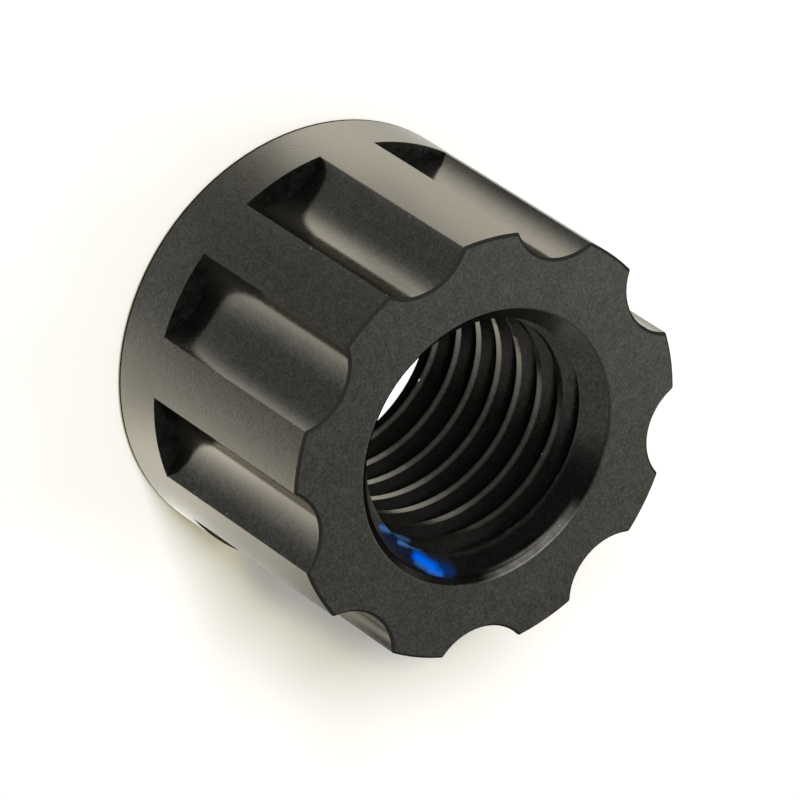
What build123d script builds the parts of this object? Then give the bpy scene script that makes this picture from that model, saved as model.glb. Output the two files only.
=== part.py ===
from build123d import *
from build123d.topology import SkipClean
import os
from math import ceil, radians, tan

# A fluted axle nut, turned and milled from one bar and threaded right through.
# Z is its axis. The plain collar's rear face is at z = 0, and the fluted front face is up.

# Bar and collar, in millimetres
outer_diameter = 19.0
height = 13.6
collar_height = 2.9

# Flutes, cut from the front face back to the collar by an end mill held along the axis
flute_count = 9
flute_depth = 1.1
cutter_diameter = 5.0

# Metric right-hand thread, and the countersinks that lead into it
thread_diameter = 12.0
thread_pitch = 1.5
thread_start_angle = 210.0
front_countersink = 1.0
rear_countersink = 1.5
bore_sectors = 4

# Broken edges
rear_rim_chamfer = 0.2
front_edge_chamfer = 0.12
land_corner_radius = 0.15

# Basic thread form: the crests keep a flat of a quarter pitch, the roots one of an eighth
flank_angle = 30.0
groove_mouth = thread_pitch * 3 / 4
groove_floor = thread_pitch / 8
thread_depth = (groove_mouth - groove_floor) / 2 / tan(radians(flank_angle))
major_radius = thread_diameter / 2
minor_radius = major_radius - thread_depth

body_radius = outer_diameter / 2
cutter_radius = cutter_diameter / 2
flute_length = height - collar_height

# Turned blank: its half section, from the rear face round the outside
with BuildPart() as blank:
    with BuildSketch(Plane.XZ) as half_section:
        with BuildLine():
            Polyline(
                (0, 0),
                (body_radius - rear_rim_chamfer, 0),
                (body_radius, rear_rim_chamfer),
                (body_radius, height),
                (0, height),
                close=True,
            )
        make_face()
    revolve(axis=Axis.Z)

    # Flutes, with the corners of the lands between them eased
    with BuildSketch(Plane.XY.offset(collar_height)) as cutter_circles:
        with PolarLocations(body_radius - flute_depth + cutter_radius, flute_count):
            Circle(cutter_radius)
    extrude(amount=flute_length, mode=Mode.SUBTRACT)
    land_corners = blank.edges().filter_by(Axis.Z).filter_by_position(Axis.Z, collar_height, height)
    fillet(land_corners, land_corner_radius)
    chamfer(blank.faces().sort_by(Axis.Z)[-1].edges(), front_edge_chamfer)

# One sector of the bore, with its countersinks
with BuildPart() as bore_sector:
    with BuildSketch(Plane.XZ) as bore_section:
        with BuildLine():
            Polyline(
                (0, 0),
                (minor_radius + rear_countersink, 0),
                (minor_radius, rear_countersink),
                (minor_radius, height - front_countersink),
                (minor_radius + front_countersink, height),
                (0, height),
                close=True,
            )
        make_face()
    revolve(axis=Axis.Z, revolution_arc=360 / bore_sectors)

# One turn of the thread's groove. Its section goes on past the crests by the overrun,
# so that the cut opens cleanly into the bore.
overrun = thread_pitch / 8
inner_radius = minor_radius - overrun
inner_half_width = groove_mouth / 2 + overrun * tan(radians(flank_angle))
with BuildPart() as groove_turn:
    with BuildLine() as groove_path:
        Helix(thread_pitch, thread_pitch, minor_radius)
    with BuildSketch(Plane.XZ) as groove_section:
        with BuildLine():
            Polyline(
                (inner_radius, -inner_half_width),
                (major_radius, -groove_floor / 2),
                (major_radius, groove_floor / 2),
                (inner_radius, inner_half_width),
                close=True,
            )
        make_face()
    sweep(path=groove_path.wires()[0], is_frenet=True)

# The turns follow each other end to end, from one pitch below the rear face to past the front.
# Faces aren't merged here, so each turn of the crest stays as short faces, one to a sector,
# and the middle height of each one lies on the crest, not over the groove.
turn_count = ceil(height / thread_pitch) + 2
with SkipClean():
    with BuildPart() as axle_nut:
        add(blank)
        with PolarLocations(0, bore_sectors):
            add(bore_sector, mode=Mode.SUBTRACT)
        for turn in range(turn_count):
            with Locations((0, 0, (turn - 1) * thread_pitch)):
                add(groove_turn, rotation=(0, 0, thread_start_angle), mode=Mode.SUBTRACT)

axle_nut.part.label = "axle_nut"
os.makedirs("parts", exist_ok=True)
export_step(axle_nut.part, "parts/axle_nut.step")
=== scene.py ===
from math import cos, pi, radians, sin

import bpy
from mathutils import Matrix, Vector


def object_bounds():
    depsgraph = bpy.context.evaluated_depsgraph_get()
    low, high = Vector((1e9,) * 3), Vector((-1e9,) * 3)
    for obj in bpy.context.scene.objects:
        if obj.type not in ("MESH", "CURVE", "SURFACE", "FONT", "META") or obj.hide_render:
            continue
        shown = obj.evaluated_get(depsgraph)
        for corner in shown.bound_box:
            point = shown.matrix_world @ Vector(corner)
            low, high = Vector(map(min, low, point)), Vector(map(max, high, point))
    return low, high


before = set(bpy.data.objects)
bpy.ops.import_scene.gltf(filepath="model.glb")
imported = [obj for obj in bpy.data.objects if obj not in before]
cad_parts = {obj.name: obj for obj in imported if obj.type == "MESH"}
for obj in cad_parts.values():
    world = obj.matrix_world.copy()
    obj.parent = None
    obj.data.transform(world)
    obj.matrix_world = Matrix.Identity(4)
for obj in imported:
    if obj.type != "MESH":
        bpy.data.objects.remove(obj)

cad_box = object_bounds()

# A black fluted axle nut on a pale floor.
# Places on the nut and the floor are in millimetres from the nut's foot, azimuths in degrees from X.
MM = 0.001

# Sizes of the nut that its material is laid out by
HEIGHT = cad_box[1][2] / MM
BODY_RADIUS = cad_box[1][0] / MM
COLLAR_HEIGHT = 2.9
FLUTE_DEPTH = 1.1
CUTTER_RADIUS = 2.5
CUTTER_AXIS_RADIUS = BODY_RADIUS - FLUTE_DEPTH + CUTTER_RADIUS
FLUTE_PITCH = radians(40)
FRONT_MOUTH_RADIUS = 6.19
REAR_MOUTH_RADIUS = 6.7
LEAD_IN_DEPTH = 1.0
THREAD_PITCH = 1.5
THREAD_START = radians(210)

# The camera, at the photograph's place and angle. Its clip distances are in metres.
LENS = 405.0
SENSOR = 36.0
CLIP_START = 0.01
CLIP_END = 20.0
CAMERA_PLACE = Vector((218.991, 124.893, 286.91)) * MM
CAMERA_AZIMUTH = 29.6165
CAMERA_ELEVATION = 47.941
CAMERA_ROLL = 123.453

# Colours
WHITE = (1.0, 1.0, 1.0, 1.0)
BLACK = (0.053, 0.054, 0.048, 1.0)
BROWNISH = (0.053, 0.051, 0.045, 1.0)
# Painted shade for broken edges, and for a band just above the foot
EDGE_PAINTED_SHADE = (0.024, 0.0237, 0.0212, 1.0)
FOOT_PAINTED_SHADE = (0.022, 0.014, 0.009, 1.0)
BARE_METAL = (0.75, 0.72, 0.66, 1.0)
# A painted sheen: the light warm tone that glancing angles turn towards
PAINTED_SHEEN = (1.0, 0.91, 0.73, 1.0)
METAL_EDGE_TINT = (1.0, 0.97, 0.88, 1.0)
# A blue film, streaked as a painted reflection of a blue light
FILM_AND_REFLECTION_NAVY = (0.0, 0.008, 0.038, 1.0)
FILM_AND_REFLECTION_BLUE = (0.0, 0.13, 0.80, 1.0)
FILM_AND_REFLECTION_PALE = (0.06, 0.17, 0.42, 1.0)

# A ramp is written as two limits, and the values below the first and above the second.
RISE = (0.0, 1.0)
FALL = (1.0, 0.0)

# Borders of the nut's surfaces, by radius, by distance from the cutter's axis and by height
BORE_BORDER = (FRONT_MOUTH_RADIUS - 0.06, FRONT_MOUTH_RADIUS + 0.02, *FALL)
FLUTE_BORDER = (CUTTER_RADIUS + 0.02, CUTTER_RADIUS + 0.06, *FALL)
FLUTE_TOP = (HEIGHT - 0.14, HEIGHT - 0.10, *FALL)
THREAD_TOP = (HEIGHT - LEAD_IN_DEPTH - 0.05, HEIGHT - LEAD_IN_DEPTH + 0.05, *FALL)
FOOT_SHADE_TOP = (0.26, 0.34, *FALL)
CORNER_BORDER = (0.10, 0.20, *FALL)
CORNER_FOOT = (COLLAR_HEIGHT, COLLAR_HEIGHT + 0.10, *RISE)
STEP_TOP = COLLAR_HEIGHT + 1.0

# Which way a surface faces, by the height of its normal
LEANS_UP = (0.2, 0.4, *RISE)
LEVEL = (0.9, 0.97, *RISE)
NOT_LEVEL = (0.9, 0.97, *FALL)
UPRIGHT = (0.1, 0.2, *FALL)

# Noise is written as scale, detail and roughness.
GRAIN_NOISE = (8.0, 2.0, 0.6)
MOTTLE_NOISE = (2.6, 3.0, 0.6)
TINT_NOISE = (0.55, 2.0, 0.5)
RING_NOISE = (2.0, 2.0, 0.6)
FLECK_NOISE = (9.0, 1.0, 0.5)
RUB_HIGHLIGHT_NOISE = (2.2, 3.0, 0.6)
FILM_AND_REFLECTION_NOISE = (2.6, 3.0, 0.5)
NOISE_CENTRE = (0.5, 0.5, 0.5)

# How high the grain stands, the share of it that a cutter takes away, and the marks a cutter leaves
BUMP_HEIGHT = 0.005
GRAIN_CUT_AWAY = -0.75
RING_HEIGHT = 0.15
RING_STRETCH = (0.6, 5.0, 5.0)

# The front rim of the bore is worn round, most of all towards one side.
RIM_INNER = (5.7, 5.9, *RISE)
RIM_OUTER = (6.4, 6.6, *FALL)
RIM_FOOT = (HEIGHT - 0.5, HEIGHT - 0.4, *RISE)
WORN_AZIMUTH = 205.0
WORN_ROUNDING = (0.2, 0.8, 0.08, 0.22)
BEVEL_SAMPLES = 8

# The dye is darker in the grain's pits, and browner in places.
NOISE_MIDDLE = (0.3, 0.7)
GRAIN_TONES = (*NOISE_MIDDLE, 0.70, 1.20)
MOTTLE_TONES = (*NOISE_MIDDLE, 0.90, 1.14)
TINT_SPREAD = (0.35, 0.65, *RISE)

# In the bore a painted highlight falls from the middle of a crest to its edges. The flanks get painted
# shade, darker deeper in and on the Y side, and the lead-in is painted darker on one side.
CREST_PHASE = 0.5
CREST_BORDER = (0.17, 0.21, *FALL)
CREST_PAINTED_HIGHLIGHT = (0.0, 0.19, 0.95, 0.40)
FLANK_SHADE_BY_HEIGHT = (10.5, 12.8, 0.75, 1.0)
FLANK_SHADE_BY_SIDE = (2.0, 4.5, 1.0, 0.5)
LEAD_IN_AZIMUTH = 190.0
LEAD_IN_SIDE = (0.55, 0.85, *RISE)
LEAD_IN_FOOT = (HEIGHT - LEAD_IN_DEPTH, HEIGHT - LEAD_IN_DEPTH + 0.15, *RISE)
LEAD_IN_PAINTED_SHADE = -0.6

# Towards glancing angles the colour turns lighter and warm, a painted sheen, less so where it is milled or
# turned.
PAINTED_SHEEN_SHARE = 0.21
MILLED_SHARE = -0.06
BORE_SHARE = -0.12
PAINTED_SHEEN_START = 0.35
PAINTED_SHEEN_END = 0.58
PAINTED_SHEEN_FADE = (0.60, 0.86, 1.0, 0.2)

# The lead-in and the turns next to it show little of that painted sheen on their Y side, as painted shade.
SHEEN_SHADE_SIDE = (3.0, 4.5, *RISE)
SHEEN_SHADE_FOOT = (12.45, 12.6, *RISE)
SHEEN_SHADE_SHARE = -0.75

# How metallic and how rough the surfaces are
METALLIC = 0.92
STEP_DULLNESS = (*NOISE_MIDDLE, 0.0, 0.12)
BLASTED_ROUGHNESS = 0.26
MILLED_ROUGHNESS = 0.08
TURNED_ROUGHNESS = 0.14
GRAIN_ROUGHNESS = 0.06
MOTTLE_ROUGHNESS = 0.06
FILM_ROUGHNESS = 0.15

# Chips gone from an edge, as place and reach, and fine flecks along the corners of the lands
CHIPS = (
    ((5.78, 7.32, 13.57), 0.06),
    ((9.27, 1.91, 13.31), 0.06),
    ((-4.07, -3.24, 2.11), 0.10),
    ((-3.92, -3.43, 11.12), 0.05),
)
CHIP_CORE = 0.3
FLECK_BORDER = (0.74, 0.78, *RISE)
FLECK_CORNER = (0.3, 0.8, *RISE)
FLECK_SHARE = 0.5

# The stretch of the bore's rim where the dye is rubbed off, placed and shaped as a painted highlight streak,
# by angle to each side of its middle
RUB_HIGHLIGHT_AZIMUTH = 186.0
RUB_HIGHLIGHT_ENDS = 28.0
RUB_HIGHLIGHT_MIDDLE = 5.6
RUB_HIGHLIGHT_INNER = (5.85, 6.02, *RISE)
RUB_HIGHLIGHT_OUTER = (6.15, 6.30, *FALL)
RUB_HIGHLIGHT_FOOT = (HEIGHT - 0.45, HEIGHT - 0.30, *RISE)
RUB_HIGHLIGHT_PATCHES = (0.30, 0.65, 0.65, 1.0)
RUB_HIGHLIGHT_SHARE = 0.8

# The blue film in the front turns, streaked as a painted reflection of a blue light: two ends, reach and
# strength
FILM_AND_REFLECTION_WANDER = 0.22
NAVY_STREAKS = (
    ((-1.6, 5.0, 12.6), (-4.6, 3.4, 13.0), 0.9, 0.85),
    ((-3.0, 4.2, 11.6), (-4.4, 2.9, 12.1), 0.6, 0.6),
)
BLUE_STREAKS = (
    ((-3.45, 4.25, 12.78), (-4.25, 3.75, 12.97), 0.46, 1.0),
    ((-4.15, 3.95, 13.0), (-4.60, 3.65, 13.08), 0.38, 0.9),
    ((-4.40, 3.50, 12.95), (-4.95, 3.10, 13.05), 0.45, 0.15),
)
PALE_STREAKS = (
    ((-1.15, 5.30, 12.63), (-1.65, 4.92, 12.52), 0.22, 0.8),
    ((-3.1, 4.15, 10.88), (-3.60, 3.74, 10.95), 0.48, 0.9),
    ((-2.35, 4.72, 12.60), (-3.45, 3.88, 12.47), 0.19, 0.9),
    ((-3.55, 4.45, 12.90), (-4.68, 3.72, 13.11), 0.20, 0.6),
)

# The pale floor, its side in metres. The camera sees it lifted by a glow, weaker along a line beside the nut
# as a painted shadow core.
FLOOR_SIZE = 3.0
FLOOR_COLOUR = (0.90, 0.91, 0.98, 1.0)
FLOOR_GLOW = (0.24, 0.21, 0.08)
PAINTED_SHADOW_FIRST = (-9.0, 1.6, 0.0)
PAINTED_SHADOW_LAST = (-14.1, -1.6, 0.0)
PAINTED_SHADOW_BORDER = (4.0, 5.6, 0.3, 1.0)

# How much brighter or darker the floor is in gloss: round the foot, and in spots as place, reach and gain
FOOT_GAIN = (BODY_RADIUS, 16.0, 1.15, 1.0)
FOOT_SPOTS = (
    ((-3.0, 10.3, 0.0), 7.0, 1.30),
    ((-5.0, 8.3, 0.0), 2.6, 1.45),
    ((2.6, 10.3, 0.0), 3.0, 0.78),
    ((10.0, -0.2, 0.0), 3.0, 0.72),
    ((8.7, 5.4, 0.0), 3.2, 1.35),
    ((8.2, 8.6, 0.0), 2.6, 1.25),
    ((-12.0, 14.2, 0.0), 4.0, 0.90),
    ((-16.5, 10.5, 0.0), 6.5, 0.15),
    ((-13.0, 17.0, 0.0), 4.5, 0.15),
    ((13.0, -8.8, 0.0), 3.2, 0.72),
    ((0.9, -11.4, 0.0), 5.0, 0.62),
)

# The room's light on the nut, and how bright the room is in gloss below and above the horizon
ROOM_LEVEL = 0.25
GLOSS_BY_HEIGHT = (-0.3, 0.1, 1.25, 0.73)

# Sides of the room are written as azimuth, elevation, and the angles from there to full and to none.
# Second reflections are dimmer, save towards one side. The dark sides end with their brightness.
FIRST_BOUNCE = 1.0
SECOND_BOUNCE = 2.0
SECOND_GLOSS = 0.22
SECOND_SIDE = (150.0, -48.0, 25.0, 50.0)
DARK_SIDES = (
    (-25.0, 38.0, 58.0, 78.0, 0.30),
    (27.0, 74.0, 12.0, 34.0, 0.25),
    (18.0, -48.0, 14.0, 43.0, 0.50),
    (95.0, -48.0, 8.0, 36.0, 0.85),
    (125.0, 74.0, 8.0, 24.0, 0.20),
)

# Lamps: name, azimuth, elevation, distance and size in metres, watts, colour, and whether gloss shows it
LAMPS = (
    ("panel", -130, 45, 0.176, 0.06, 0.03, (1.0, 0.99, 0.95), True),
    ("glint", -112, 71, 0.3, 0.03, 0.04, (1.0, 0.97, 0.90), True),
    ("top", 12, 52.5, 0.5, 0.14, 2.04, (0.96, 0.97, 1.0), False),
)


def heading(azimuth, elevation=0.0):
    """The unit vector towards an azimuth and elevation."""
    level = cos(radians(elevation))
    return Vector((level * cos(radians(azimuth)), level * sin(radians(azimuth)), sin(radians(elevation))))


class Nodes:
    """A node tree under construction, with short calls for the nodes that it uses."""

    def __init__(self, tree):
        self.tree = tree
        tree.nodes.clear()

    def new(self, kind, **settings):
        made = self.tree.nodes.new(kind)
        for name, value in settings.items():
            setattr(made, name, value)
        return made

    def put(self, value, socket):
        """Links a socket's value, or sets a plain one."""
        if isinstance(value, bpy.types.NodeSocket):
            self.tree.links.new(value, socket)
        else:
            socket.default_value = value

    def math(self, operation, first, second=None, third=None, clamp=False):
        made = self.new("ShaderNodeMath", operation=operation, use_clamp=clamp)
        for value, socket in zip((first, second, third), made.inputs):
            if value is not None:
                self.put(value, socket)
        return made.outputs[0]

    def times(self, value, *factors):
        for factor in factors:
            value = self.math("MULTIPLY", value, factor)
        return value

    def plus(self, value, share, amount):
        """Value, and on top of it the amount times its share."""
        return self.math("MULTIPLY_ADD", share, amount, value)

    def length(self, first, second):
        return self.math("SQRT", self.math("ADD", self.times(first, first), self.times(second, second)))

    def vector(self, operation, first, second=None, scale=None):
        made = self.new("ShaderNodeVectorMath", operation=operation)
        self.put(first, made.inputs[0])
        if second is not None:
            self.put(second, made.inputs[1])
        if scale is not None:
            self.put(scale, made.inputs["Scale"])
        return made.outputs["Value" if operation in ("DOT_PRODUCT", "DISTANCE") else "Vector"]

    def split(self, vector):
        made = self.new("ShaderNodeSeparateXYZ")
        self.put(vector, made.inputs[0])
        return tuple(made.outputs)

    def join(self, *values):
        made = self.new("ShaderNodeCombineXYZ")
        for value, socket in zip(values, made.inputs):
            self.put(value, socket)
        return made.outputs[0]

    def place(self):
        """The point's own place on its object, in millimetres."""
        return self.vector("SCALE", self.new("ShaderNodeTexCoord").outputs["Object"], scale=1 / MM)

    def ramp(self, value, low, high, start=0.0, end=1.0):
        """Goes smoothly from start to end as value goes from low to high."""
        made = self.new("ShaderNodeMapRange", interpolation_type="SMOOTHSTEP")
        for one, socket in zip((value, low, high, start, end), made.inputs):
            self.put(one, socket)
        return made.outputs[0]

    def noise(self, place, settings, output=0):
        made = self.new("ShaderNodeTexNoise")
        self.put(place, made.inputs["Vector"])
        for name, value in zip(("Scale", "Detail", "Roughness"), settings):
            made.inputs[name].default_value = value
        return made.outputs[output]

    def mix(self, share, first, second):
        # The node's colour sockets come after those for numbers and vectors.
        made = self.new("ShaderNodeMix", data_type="RGBA")
        self.put(share, made.inputs[0])
        self.put(first, made.inputs[6])
        self.put(second, made.inputs[7])
        return made.outputs[2]

    def near(self, place, spots):
        """1 at each of the spots, down to 0 at its reach."""
        share = 0.0
        for spot, reach in spots:
            away = self.vector("DISTANCE", place, spot)
            share = self.math("MAXIMUM", share, self.ramp(away, CHIP_CORE * reach, reach, *FALL))
        return share

    def off_line(self, place, first, last):
        """The distance from the line between two points."""
        run = Vector(last) - Vector(first)
        gone = self.vector("SUBTRACT", place, first)
        done = self.vector("DOT_PRODUCT", gone, run)
        part = self.math("DIVIDE", done, run.length_squared, clamp=True)
        return self.vector("DISTANCE", gone, self.vector("SCALE", run, scale=part))

    def streaks(self, place, rows):
        """The strength of each streak from its line outwards, down to 0 at its reach."""
        share = 0.0
        for first, last, reach, strength in rows:
            aside = self.off_line(place, first, last)
            share = self.math("MAXIMUM", share, self.ramp(aside, 0.0, reach, strength, 0.0))
        return share

    def side(self, direction, azimuth, elevation, inner, outer, inside, outside):
        """The value inside for directions near a heading, and outside for those far from it."""
        aligned = self.vector("DOT_PRODUCT", direction, heading(azimuth, elevation))
        return self.ramp(aligned, cos(radians(outer)), cos(radians(inner)), outside, inside)


class Layout:
    """Where a point lies on the nut, and on which of its surfaces."""

    def __init__(self, n):
        self.n = n
        self.place = n.place()
        x, self.y, self.z = n.split(self.place)
        self.radius = n.length(x, self.y)
        self.angle = n.math("ARCTAN2", self.y, x)
        self.bore = n.ramp(self.radius, *BORE_BORDER)
        outside = n.math("SUBTRACT", 1.0, self.bore)

        # The nearest flute: the turn away from its middle, and the place as seen from its cutter's axis
        self.turn = n.math("WRAP", self.angle, FLUTE_PITCH / 2, -FLUTE_PITCH / 2)
        outward = n.times(self.radius, n.math("COSINE", self.turn))
        self.along = n.math("SUBTRACT", outward, CUTTER_AXIS_RADIUS)
        self.across = n.times(self.radius, n.math("SINE", self.turn))
        off_axis = n.length(self.along, self.across)
        above_collar = n.math("GREATER_THAN", self.z, COLLAR_HEIGHT)
        self.flute = n.times(n.ramp(off_axis, *FLUTE_BORDER), n.ramp(self.z, *FLUTE_TOP), above_collar)
        self.cut = n.math("MAXIMUM", self.bore, self.flute)

        # A wall belongs to the flute or to the round body, whichever of the two is nearer.
        in_body = n.math("SUBTRACT", BODY_RADIUS, self.radius)
        off_flute = n.math("SUBTRACT", off_axis, CUTTER_RADIUS)
        self.flute_wall = n.times(n.math("GREATER_THAN", in_body, off_flute), above_collar)
        corner = n.length(in_body, off_flute)
        self.corner = n.times(n.ramp(corner, *CORNER_BORDER), n.ramp(self.z, *CORNER_FOOT))

        # Which way it faces: broken edges, upright walls, and the steps at the flutes' ends
        lean = n.split(n.new("ShaderNodeNewGeometry").outputs["Normal"])[2]
        # Broken edges and a band just above the foot get dark painted shade and are made matte
        edge = n.times(n.ramp(lean, *LEANS_UP), n.ramp(lean, *NOT_LEVEL), outside)
        self.foot_shade = n.ramp(self.z, *FOOT_SHADE_TOP)
        self.matte_painted_shade = n.math("MAXIMUM", edge, self.foot_shade)
        self.upright = n.times(n.ramp(n.math("ABSOLUTE", lean), *UPRIGHT), outside)
        self.step = n.times(n.ramp(lean, *LEVEL), n.math("LESS_THAN", self.z, STEP_TOP), outside)

    def aligned(self, azimuth):
        """The cosine of the angle about the axis between the point and an azimuth."""
        return self.n.math("DIVIDE", self.n.vector("DOT_PRODUCT", self.place, heading(azimuth)), self.radius)


def round_normal(n, at):
    """The normal of truly round walls, and of the worn rim of the bore."""
    rim = n.times(n.ramp(at.radius, *RIM_INNER), n.ramp(at.radius, *RIM_OUTER), n.ramp(at.z, *RIM_FOOT))
    rounding = n.times(rim, n.ramp(at.aligned(WORN_AZIMUTH), *WORN_ROUNDING))
    bevel = n.new("ShaderNodeBevel", samples=BEVEL_SAMPLES)
    n.put(n.times(rounding, MM), bevel.inputs["Radius"])

    # A wall faces away from the nut's axis, or in a flute towards the cutter's axis.
    to_cutter = n.math("ARCTAN2", n.times(at.across, -1.0), n.times(at.along, -1.0))
    around = n.plus(at.angle, at.flute_wall, n.math("SUBTRACT", to_cutter, at.turn))
    away = n.join(n.math("COSINE", around), n.math("SINE", around))
    return n.mix(at.upright, bevel.outputs[0], away)


def bumpy_normal(n, at, grain):
    """The round form with the blasted grain and the cutters' marks on it."""
    cylindrical = (at.angle, at.radius, at.z)
    drawn = n.join(*(n.times(value, stretch) for value, stretch in zip(cylindrical, RING_STRETCH)))
    rings = n.times(n.noise(drawn, RING_NOISE), at.cut)
    height = n.times(grain, n.plus(1.0, at.cut, GRAIN_CUT_AWAY))
    bump = n.new("ShaderNodeBump")
    bump.inputs["Strength"].default_value = 1.0
    bump.inputs["Distance"].default_value = BUMP_HEIGHT * MM
    n.put(n.plus(height, rings, RING_HEIGHT), bump.inputs["Height"])
    n.put(round_normal(n, at), bump.inputs["Normal"])
    return bump.outputs[0]


def bore_painted_shading(n, at):
    """The bore's painted highlight on the crests and painted shade on the flanks and lead-in, as a factor on
    the tone, and 1 outside it.
    """
    started = n.math("DIVIDE", n.math("SUBTRACT", THREAD_START, at.angle), 2 * pi)
    turns = n.math("FRACT", n.plus(started, at.z, 1 / THREAD_PITCH))
    off_crest = n.times(n.math("ABSOLUTE", n.math("SUBTRACT", turns, CREST_PHASE)), THREAD_PITCH)
    on_crest = n.times(at.bore, n.ramp(at.z, *THREAD_TOP), n.ramp(off_crest, *CREST_BORDER))
    flank_shade = n.times(n.ramp(at.z, *FLANK_SHADE_BY_HEIGHT), n.ramp(at.y, *FLANK_SHADE_BY_SIDE))
    tone = n.plus(flank_shade, on_crest, n.math("SUBTRACT", n.ramp(off_crest, *CREST_PAINTED_HIGHLIGHT), flank_shade))
    lead_in_shade = n.times(n.ramp(at.z, *LEAD_IN_FOOT), n.ramp(at.aligned(LEAD_IN_AZIMUTH), *LEAD_IN_SIDE))
    tone = n.times(tone, n.plus(1.0, lead_in_shade, LEAD_IN_PAINTED_SHADE))
    return n.plus(1.0, at.bore, n.math("SUBTRACT", tone, 1.0))


def dyed_colour_with_painted_light(n, at, grain, mottle, normal):
    """The colour of the dyed metal, with the bore's painted highlight and shade, turned lighter and warm at
    glancing angles as a painted sheen.
    """
    # The tone: grain and mottle, times the bore's painted highlight and shade
    light = n.times(n.ramp(grain, *GRAIN_TONES), n.ramp(mottle, *MOTTLE_TONES), bore_painted_shading(n, at))
    brown = n.ramp(n.noise(at.place, TINT_NOISE), *TINT_SPREAD)
    dyed_with_painted_shading = n.vector("SCALE", n.mix(brown, BLACK, BROWNISH), scale=light)
    weight = n.new("ShaderNodeLayerWeight")
    weight.inputs["Blend"].default_value = 0.5
    n.put(normal, weight.inputs["Normal"])
    facing = weight.outputs["Facing"]
    share = n.plus(n.plus(PAINTED_SHEEN_SHARE, at.bore, BORE_SHARE), at.flute, MILLED_SHARE)
    # A painted sheen, lighter and warm at glancing angles
    painted_sheen = n.ramp(facing, PAINTED_SHEEN_START, PAINTED_SHEEN_END, 0.0, share)
    # Painted shade: less painted sheen on the Y side of the lead-in and the turns next to it
    sheen_shade = n.times(at.bore, n.ramp(at.y, *SHEEN_SHADE_SIDE), n.ramp(at.z, *SHEEN_SHADE_FOOT))
    painted_sheen = n.times(painted_sheen, n.ramp(facing, *PAINTED_SHEEN_FADE), n.plus(1.0, sheen_shade, SHEEN_SHADE_SHARE))
    return n.mix(painted_sheen, dyed_with_painted_shading, PAINTED_SHEEN)


def bare_share(n, at):
    """Where bare metal shows: chips, flecks along the corners, and the rubbed stretch of the rim, which is
    placed as a painted highlight streak.
    """
    flecks = n.ramp(n.noise(at.place, FLECK_NOISE), *FLECK_BORDER)
    flecks = n.times(flecks, n.ramp(at.corner, *FLECK_CORNER), FLECK_SHARE)
    # A rubbed stretch of the rim, placed and shaped as a painted highlight streak
    rub_and_highlight = n.ramp(at.aligned(RUB_HIGHLIGHT_AZIMUTH), cos(radians(RUB_HIGHLIGHT_ENDS)), cos(radians(RUB_HIGHLIGHT_MIDDLE)))
    rub_and_highlight = n.times(rub_and_highlight, n.ramp(at.radius, *RUB_HIGHLIGHT_INNER), n.ramp(at.radius, *RUB_HIGHLIGHT_OUTER), n.ramp(at.z, *RUB_HIGHLIGHT_FOOT))
    rub_and_highlight = n.times(rub_and_highlight, n.ramp(n.noise(at.place, RUB_HIGHLIGHT_NOISE), *RUB_HIGHLIGHT_PATCHES), RUB_HIGHLIGHT_SHARE)
    return n.math("MAXIMUM", n.math("MAXIMUM", n.near(at.place, CHIPS), flecks), rub_and_highlight)


def film_and_reflection_shares(n, at):
    """The strength of each colour of the blue film and its painted reflection, with ragged borders."""
    ragged = n.vector("SUBTRACT", n.noise(at.place, FILM_AND_REFLECTION_NOISE, "Color"), NOISE_CENTRE)
    ragged_place = n.vector("ADD", at.place, n.vector("SCALE", ragged, scale=FILM_AND_REFLECTION_WANDER))
    return [n.streaks(ragged_place, rows) for rows in (NAVY_STREAKS, BLUE_STREAKS, PALE_STREAKS)]


def black_metal():
    material = bpy.data.materials.new("black_metal")
    material.use_nodes = True
    n = Nodes(material.node_tree)
    at = Layout(n)
    grain = n.noise(at.place, GRAIN_NOISE)
    mottle = n.noise(at.place, MOTTLE_NOISE)
    normal = bumpy_normal(n, at, grain)

    # From the dyed metal outwards
    colour = dyed_colour_with_painted_light(n, at, grain, mottle, normal)
    navy, blue, pale = film_and_reflection_shares(n, at)
    film = n.math("MAXIMUM", navy, n.math("MAXIMUM", blue, pale))
    # Over it: bare metal, with a rubbed stretch that is a painted highlight; painted shade on broken edges
    # and above the foot; the film with its painted blue reflection
    layers = (
        (bare_share(n, at), BARE_METAL),
        (at.matte_painted_shade, EDGE_PAINTED_SHADE),
        (at.foot_shade, FOOT_PAINTED_SHADE),
        (navy, FILM_AND_REFLECTION_NAVY),
        (blue, FILM_AND_REFLECTION_BLUE),
        (pale, FILM_AND_REFLECTION_PALE),
    )
    for share, layer in layers:
        colour = n.mix(share, colour, layer)

    rough = n.plus(BLASTED_ROUGHNESS, n.ramp(grain, *NOISE_MIDDLE), GRAIN_ROUGHNESS)
    rough = n.plus(rough, mottle, MOTTLE_ROUGHNESS)
    rough = n.plus(rough, at.flute, MILLED_ROUGHNESS - BLASTED_ROUGHNESS)
    rough = n.plus(rough, at.bore, TURNED_ROUGHNESS - BLASTED_ROUGHNESS)
    rough = n.plus(rough, film, FILM_ROUGHNESS)
    dull = n.plus(1.0 - METALLIC, at.step, n.ramp(mottle, *STEP_DULLNESS))
    dull = n.math("MAXIMUM", film, n.math("MAXIMUM", at.matte_painted_shade, dull))

    shader = n.new("ShaderNodeBsdfPrincipled")
    shader.inputs["Specular Tint"].default_value = METAL_EDGE_TINT
    shader.inputs["Specular IOR Level"].default_value = 0.0
    n.put(colour, shader.inputs["Base Color"])
    n.put(n.math("SUBTRACT", 1.0, dull), shader.inputs["Metallic"])
    n.put(rough, shader.inputs["Roughness"])
    n.put(normal, shader.inputs["Normal"])
    n.put(shader.outputs[0], n.new("ShaderNodeOutputMaterial").inputs[0])
    return material


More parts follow.
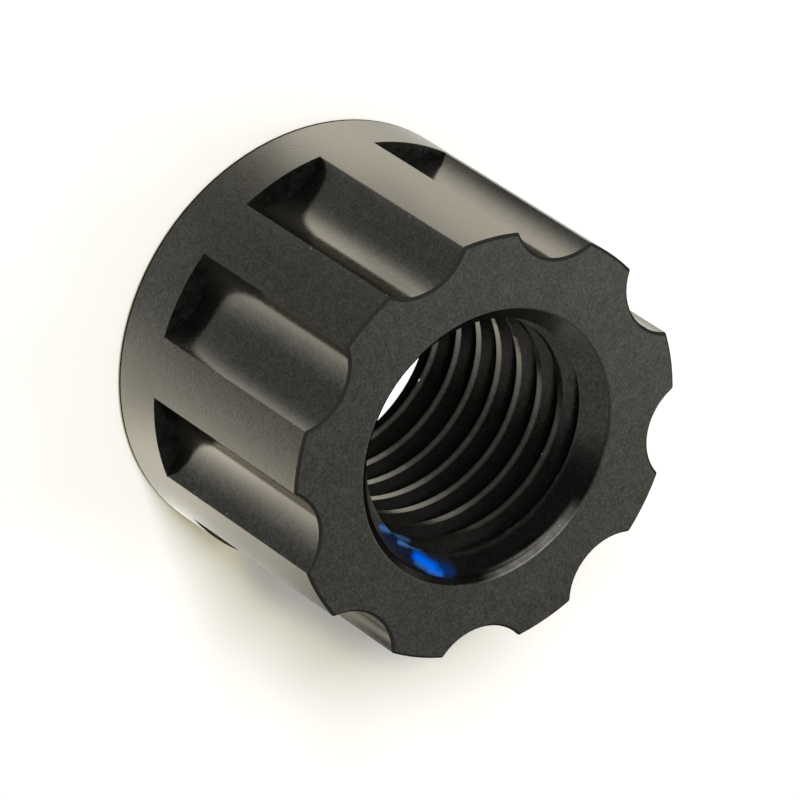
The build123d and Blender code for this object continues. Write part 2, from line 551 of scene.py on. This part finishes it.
def add_camera():
    azimuth = radians(CAMERA_AZIMUTH)
    roll = radians(CAMERA_ROLL)
    back = heading(CAMERA_AZIMUTH, CAMERA_ELEVATION)
    level_right = Vector((-sin(azimuth), cos(azimuth), 0))
    level_up = back.cross(level_right)
    right = cos(roll) * level_right + sin(roll) * level_up
    up = cos(roll) * level_up - sin(roll) * level_right
    turned = Matrix((right, up, back)).transposed().to_4x4()
    data = bpy.data.cameras.new("camera")
    data.lens = LENS
    data.sensor_width = SENSOR
    data.clip_start = CLIP_START
    data.clip_end = CLIP_END
    camera = bpy.data.objects.new("camera", data)
    camera.matrix_world = Matrix.Translation(CAMERA_PLACE) @ turned
    bpy.context.scene.collection.objects.link(camera)
    bpy.context.scene.camera = camera


def floor_material():
    material = bpy.data.materials.new("floor")
    material.use_nodes = True
    n = Nodes(material.node_tree)
    path = n.new("ShaderNodeLightPath")
    place = n.place()
    off_axis = n.vector("DISTANCE", place, (0, 0, 0))

    # Plain card, lifted for the camera alone, less so in the painted shadow core, and white where it shows
    # through the bore as painted light
    card = n.new("ShaderNodeBsdfDiffuse")
    card.inputs["Color"].default_value = FLOOR_COLOUR
    painted_shadow_glow_share = n.ramp(n.off_line(place, PAINTED_SHADOW_FIRST, PAINTED_SHADOW_LAST), *PAINTED_SHADOW_BORDER)
    glow = n.vector("SCALE", FLOOR_GLOW, scale=painted_shadow_glow_share)
    lift = n.new("ShaderNodeEmission")
    under_bore = n.math("LESS_THAN", off_axis, REAR_MOUTH_RADIUS)
    n.put(n.mix(under_bore, glow, WHITE), lift.inputs["Color"])
    n.put(path.outputs["Is Camera Ray"], lift.inputs["Strength"])
    lifted = n.new("ShaderNodeAddShader")
    n.put(card.outputs[0], lifted.inputs[0])
    n.put(lift.outputs[0], lifted.inputs[1])

    # Gloss looks through the floor to the room, with the gain of the place that it goes through.
    gain = n.ramp(off_axis, *FOOT_GAIN)
    for spot, reach, spot_gain in FOOT_SPOTS:
        gain = n.times(gain, n.ramp(n.vector("DISTANCE", place, spot), 0.0, reach, spot_gain, 1.0))
    clear = n.new("ShaderNodeBsdfTransparent")
    n.put(gain, clear.inputs["Color"])
    surface = n.new("ShaderNodeMixShader")
    n.put(path.outputs["Is Glossy Ray"], surface.inputs[0])
    n.put(lifted.outputs[0], surface.inputs[1])
    n.put(clear.outputs[0], surface.inputs[2])
    n.put(surface.outputs[0], n.new("ShaderNodeOutputMaterial").inputs[0])
    return material


def add_floor():
    half = FLOOR_SIZE / 2
    mesh = bpy.data.meshes.new("floor")
    corners = [(-half, -half, 0), (half, -half, 0), (half, half, 0), (-half, half, 0)]
    mesh.from_pydata(corners, [], [(0, 1, 2, 3)])
    mesh.materials.append(floor_material())
    floor = bpy.data.objects.new("floor", mesh)
    bpy.context.scene.collection.objects.link(floor)


def set_world():
    """White for the camera, plain soft light on the nut, and an uneven room for gloss alone."""
    world = bpy.data.worlds.new("studio")
    world.use_nodes = True
    n = Nodes(world.node_tree)
    path = n.new("ShaderNodeLightPath")
    direction = n.new("ShaderNodeTexCoord").outputs["Generated"]
    room = n.ramp(n.split(direction)[2], *GLOSS_BY_HEIGHT)
    second = n.side(direction, *SECOND_SIDE, inside=1.0, outside=SECOND_GLOSS)
    room = n.times(room, n.ramp(path.outputs["Glossy Depth"], FIRST_BOUNCE, SECOND_BOUNCE, 1.0, second))
    for *side, brightness in DARK_SIDES:
        room = n.times(room, n.side(direction, *side, inside=brightness, outside=1.0))

    camera = path.outputs["Is Camera Ray"]
    seen = n.math("MAXIMUM", camera, path.outputs["Is Glossy Ray"])
    seen = n.math("MAXIMUM", seen, path.outputs["Is Transmission Ray"])
    strength = n.math("MAXIMUM", n.times(seen, room), camera)
    soft = n.times(path.outputs["Is Diffuse Ray"], ROOM_LEVEL)
    background = n.new("ShaderNodeBackground")
    background.inputs["Color"].default_value = WHITE
    n.put(n.math("MAXIMUM", strength, soft), background.inputs["Strength"])
    n.put(background.outputs[0], n.new("ShaderNodeOutputWorld").inputs[0])
    bpy.context.scene.world = world


def add_lamp(name, azimuth, elevation, distance, size, power, colour, in_gloss):
    direction = heading(azimuth, elevation)
    data = bpy.data.lights.new(name, "AREA")
    data.shape = "SQUARE"
    data.size = size
    data.energy = power
    data.color = colour
    lamp = bpy.data.objects.new(name, data)
    lamp.location = direction * distance
    lamp.rotation_euler = direction.to_track_quat("Z", "Y").to_euler()
    lamp.visible_glossy = in_gloss
    bpy.context.scene.collection.objects.link(lamp)


bpy.context.scene.view_settings.view_transform = "Standard"
metal = black_metal()
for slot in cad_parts["axle_nut"].material_slots:
    slot.material = metal
add_camera()
add_floor()
set_world()
for lamp in LAMPS:
    add_lamp(*lamp)
